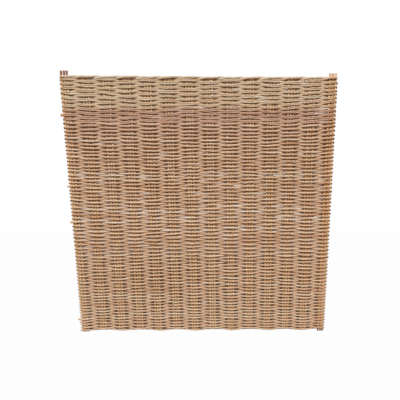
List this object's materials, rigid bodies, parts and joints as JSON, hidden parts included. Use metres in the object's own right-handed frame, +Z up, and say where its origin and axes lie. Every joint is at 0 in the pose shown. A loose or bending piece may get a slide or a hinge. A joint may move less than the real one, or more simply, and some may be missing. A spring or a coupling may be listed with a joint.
{
  "type": "woven fence panel",
  "caption": "Woven garden fence panel of peeled wooden rods: upright stakes in groups, held by rods that pass in front of one group and behind the next.",
  "frame": {"origin": "on the ground at the feet of the end stakes, midway along the panel and in the middle of its thickness", "axes": "+X along the panel to the right as seen from the front, +Y from the front face to the back, +Z up the stakes"},
  "size_m": [1.8, 0.0396, 1.8412],
  "materials": {
    "weaver_rods": "peeled rods, dry and unvarnished, buff to pinkish tan",
    "stake_rods": "peeled rods, dry and unvarnished, honey tan"
  },
  "bodies": {
    "root": {"woven_wall": "weaver_rods", "stake_01_1": "stake_rods", "stake_01_2": "stake_rods", "stake_01_3": "stake_rods", "stake_02_1": "stake_rods", "stake_02_2": "stake_rods", "stake_02_3": "stake_rods", "stake_03_1": "stake_rods", "stake_03_2": "stake_rods", "stake_03_3": "stake_rods", "stake_04_1": "stake_rods", "stake_04_2": "stake_rods", "stake_04_3": "stake_rods", "stake_05_1": "stake_rods", "stake_05_2": "stake_rods", "stake_05_3": "stake_rods", "stake_06_1": "stake_rods", "stake_06_2": "stake_rods", "stake_06_3": "stake_rods", "stake_07_1": "stake_rods", "stake_07_2": "stake_rods", "stake_07_3": "stake_rods", "stake_08_1": "stake_rods", "stake_08_2": "stake_rods", "stake_08_3": "stake_rods", "stake_09_1": "stake_rods", "stake_09_2": "stake_rods", "stake_09_3": "stake_rods", "stake_10_1": "stake_rods", "stake_10_2": "stake_rods", "stake_10_3": "stake_rods", "stake_11_1": "stake_rods", "stake_11_2": "stake_rods", "stake_11_3": "stake_rods", "stake_12_1": "stake_rods", "stake_12_2": "stake_rods", "stake_12_3": "stake_rods", "stake_13_1": "stake_rods", "stake_13_2": "stake_rods", "stake_13_3": "stake_rods", "stake_14_1": "stake_rods", "stake_14_2": "stake_rods", "stake_14_3": "stake_rods"}
  },
  "joints": []
}
